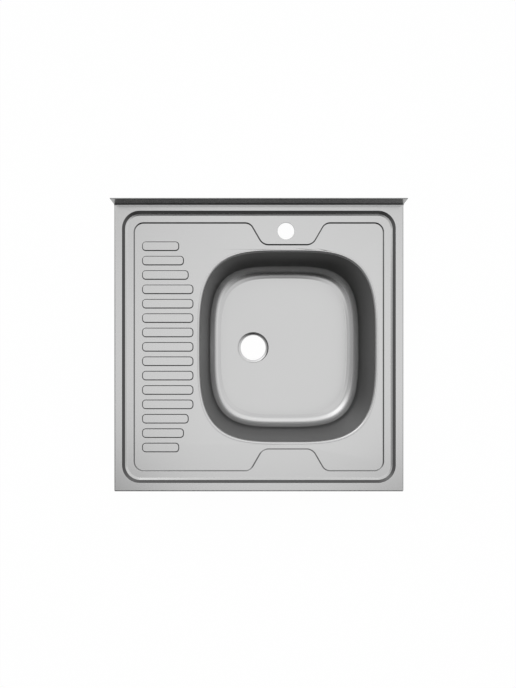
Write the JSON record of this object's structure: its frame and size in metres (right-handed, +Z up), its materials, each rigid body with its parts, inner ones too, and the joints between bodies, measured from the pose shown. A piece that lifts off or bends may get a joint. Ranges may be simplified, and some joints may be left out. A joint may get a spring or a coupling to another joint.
{
  "type": "kitchen sink with drainboard",
  "caption": "Square lay-on stainless sink: rounded bowl on the right, ribbed drainboard on the left, rear upstand, folded skirts, tap hole and sunk drain.",
  "frame": {"origin": "middle of the square plan, on the surface that the floor pad stands on", "axes": "+X to the bowl's side, +Y to the upstand at the back, +Z up"},
  "size_m": [0.6, 0.6, 0.204],
  "materials": {
    "stainless": "satin",
    "galvanised": "dull spangled zinc",
    "zinc": "bright zinc plating",
    "brass": "plain turned brass",
    "bitumen": "matt embossed bitumen",
    "foam": "matt closed-cell foam"
  },
  "bodies": {
    "sink": {"deck": "stainless", "bowl": "stainless", "floor_pad": "bitumen", "drainboard_rail": "galvanised", "tap_plate": "galvanised", "earth_tag": "stainless", "earth_screw": "brass", "earth_nut": "brass", "seal_front": "foam", "seal_left": "foam", "seal_right": "foam"},
    "clip_left_front": {"clip_left_front": "galvanised"},
    "screw_left_front": {"screw_left_front": "zinc"},
    "clip_left_back": {"clip_left_back": "galvanised"},
    "screw_left_back": {"screw_left_back": "zinc"},
    "clip_right_front": {"clip_right_front": "galvanised"},
    "screw_right_front": {"screw_right_front": "zinc"},
    "clip_right_back": {"clip_right_back": "galvanised"},
    "screw_right_back": {"screw_right_back": "zinc"}
  },
  "joints": [
    {"name": "clip_left_front_slide", "type": "slide", "parent": "sink", "child": "clip_left_front", "axis": [0, 1, 0], "range_m": [-0.06, 0.17]},
    {"name": "screw_left_front_slide", "type": "slide", "parent": "clip_left_front", "child": "screw_left_front", "axis": [0, 0.866, 0.5], "range_m": [-0.011, 0.011]},
    {"name": "clip_left_back_slide", "type": "slide", "parent": "sink", "child": "clip_left_back", "axis": [0, 1, 0], "range_m": [-0.17, 0.07]},
    {"name": "screw_left_back_slide", "type": "slide", "parent": "clip_left_back", "child": "screw_left_back", "axis": [0, 0.866, -0.5], "range_m": [-0.011, 0.011]},
    {"name": "clip_right_front_slide", "type": "slide", "parent": "sink", "child": "clip_right_front", "axis": [0, 1, 0], "range_m": [-0.06, 0.17]},
    {"name": "screw_right_front_slide", "type": "slide", "parent": "clip_right_front", "child": "screw_right_front", "axis": [0, 0.866, 0.5], "range_m": [-0.011, 0.011]},
    {"name": "clip_right_back_slide", "type": "slide", "parent": "sink", "child": "clip_right_back", "axis": [0, 1, 0], "range_m": [-0.17, 0.07]},
    {"name": "screw_right_back_slide", "type": "slide", "parent": "clip_right_back", "child": "screw_right_back", "axis": [0, 0.866, -0.5], "range_m": [-0.011, 0.011]}
  ]
}
